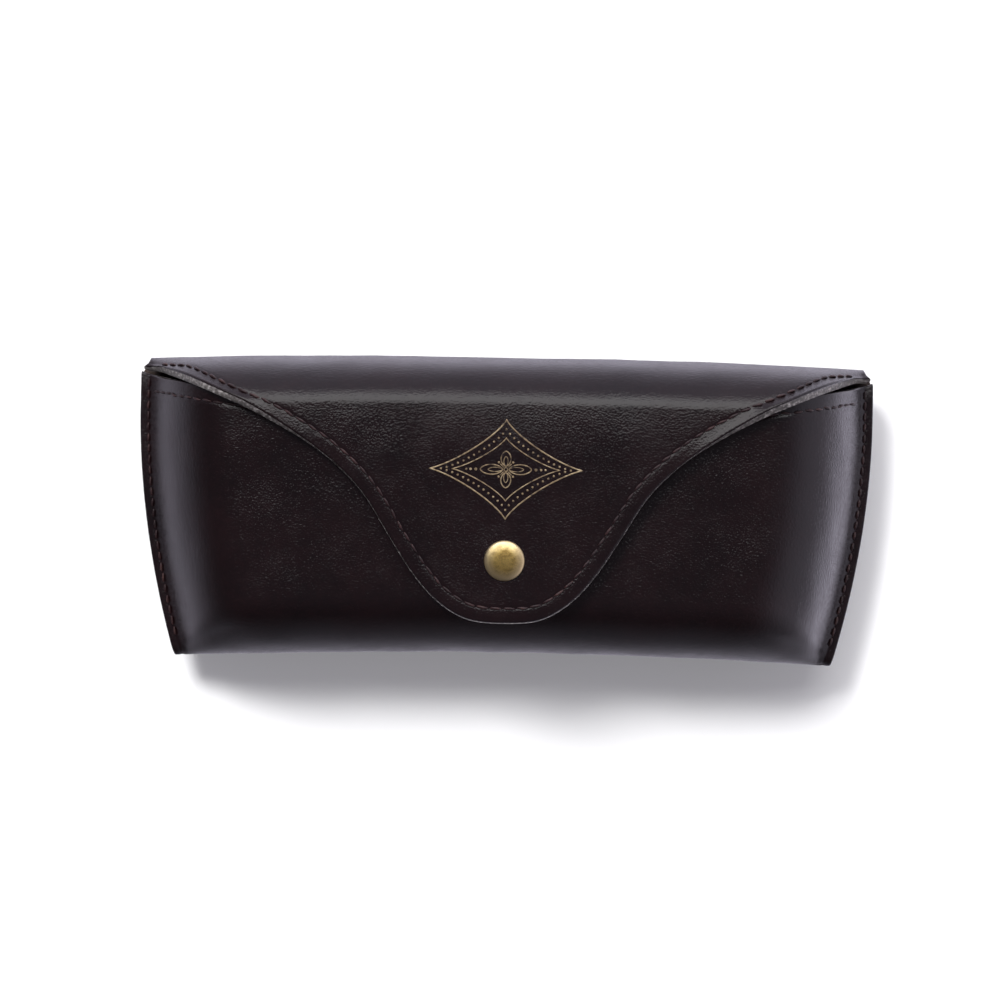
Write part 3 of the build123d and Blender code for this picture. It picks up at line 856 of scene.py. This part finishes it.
# ---------------------------------------------------------------- floor, light and camera
bpy.ops.mesh.primitive_plane_add(size=6, location=(0, 0, -0.0002))
floor = bpy.context.object
floor.name = "floor"
fmat, fnt, fb = material("pale_floor")
fb.inputs["Base Color"].default_value = (0.90, 0.90, 0.90, 1)
fb.inputs["Roughness"].default_value = 0.9
fb.inputs["Specular IOR Level"].default_value = 0.1
floor.data.materials.append(fmat)

world = bpy.data.worlds.new("studio")
bpy.context.scene.world = world
world.use_nodes = True
wnt = world.node_tree
background = wnt.nodes["Background"]
direction = wnt.nodes.new("ShaderNodeTexCoord").outputs["Generated"]
split = wnt.nodes.new("ShaderNodeSeparateXYZ")
wnt.links.new(direction, split.inputs[0])
height = map_range(wnt, split.outputs["Z"], -1.0, 1.0, 0.0, 1.0)


def glow(stops):
    """Brightness of the room against height: 0 straight down, 0.5 at the horizon, 1 overhead."""
    return ramp(wnt, height, [(h, (k, k, k)) for h, k in stops])


def share(value, sign):
    """How much of a direction points one way along an axis."""
    facing = math_node(wnt, "MAXIMUM", math_node(wnt, "MULTIPLY", value, sign), 0.0)
    return math_node(wnt, "POWER", facing, 2.0)


room = math_node(wnt, "MULTIPLY", share(split.outputs["Z"], 1), 0.12)
room = math_node(wnt, "ADD", room, math_node(wnt, "MULTIPLY", share(split.outputs["Z"], -1), 0.45))
for axis, sign, stops in (
    ("X", 1, [(0.18, 3.2), (0.30, 1.1), (0.38, 0.70), (0.5, 0.70), (0.75, 0.75), (1.0, 0.45)]),
    ("X", -1, [(0.18, 1.05), (0.38, 0.36), (0.5, 0.17), (0.68, 0.08), (1.0, 0.12)]),
    ("Y", 1, [(0.05, 2.8), (0.10, 2.2), (0.24, 0.95), (0.45, 0.58), (0.60, 0.75), (0.75, 0.70), (1.0, 0.20)]),
    ("Y", -1, [(0.18, 0.07), (0.38, 0.16), (0.5, 0.12), (0.7, 0.04), (1.0, 0.05)]),
):
    wall = math_node(wnt, "MULTIPLY", share(split.outputs[axis], sign), glow(stops))
    room = math_node(wnt, "ADD", room, wall)
background.inputs["Color"].default_value = (1.0, 0.95, 1.13, 1)
wnt.links.new(room, background.inputs["Strength"])


def softbox(name, azimuth, elevation, distance, size_x, size_y, power):
    """Area light aimed at the case; azimuth 0 stands towards +Y, 90 towards +X."""
    az, el = math.radians(azimuth), math.radians(elevation)
    data = bpy.data.lights.new(name, "AREA")
    data.shape = "RECTANGLE"
    data.size, data.size_y = size_x, size_y
    data.energy = power
    ob = bpy.data.objects.new(name, data)
    place = Vector((math.sin(az) * math.cos(el), math.cos(az) * math.cos(el), math.sin(el))) * distance
    ob.location = place
    ob.rotation_euler = (-place).to_track_quat("-Z", "Y").to_euler()
    bpy.context.scene.collection.objects.link(ob)
    return ob


softbox("strip_back", -4, 50, 1.5, 1.9, 1.15, 16)
for name, azimuth, elevation, size, power in (("main", -34, 52, 0.9, 95), ("fill_front", 170, 55, 1.2, 24)):
    lamp = softbox(name, azimuth, elevation, 3.2, size, size, power)
    lamp.visible_glossy = False  # it lights the floor and body colours; what the leather mirrors is the room
floor.visible_glossy = False

cam_data = bpy.data.cameras.new("camera")
cam = bpy.data.objects.new("camera", cam_data)
cam_data.sensor_width = 36
cam_data.lens = 135
cam.location = (-0.00124, 0.00221, SEAM_Z * MM + 0.9)
cam.rotation_euler = (0, 0, math.radians(1.0))
cam_data.clip_start, cam_data.clip_end = 0.05, 20
bpy.context.scene.collection.objects.link(cam)
bpy.context.scene.camera = cam

bpy.context.scene.view_settings.view_transform = "Standard"
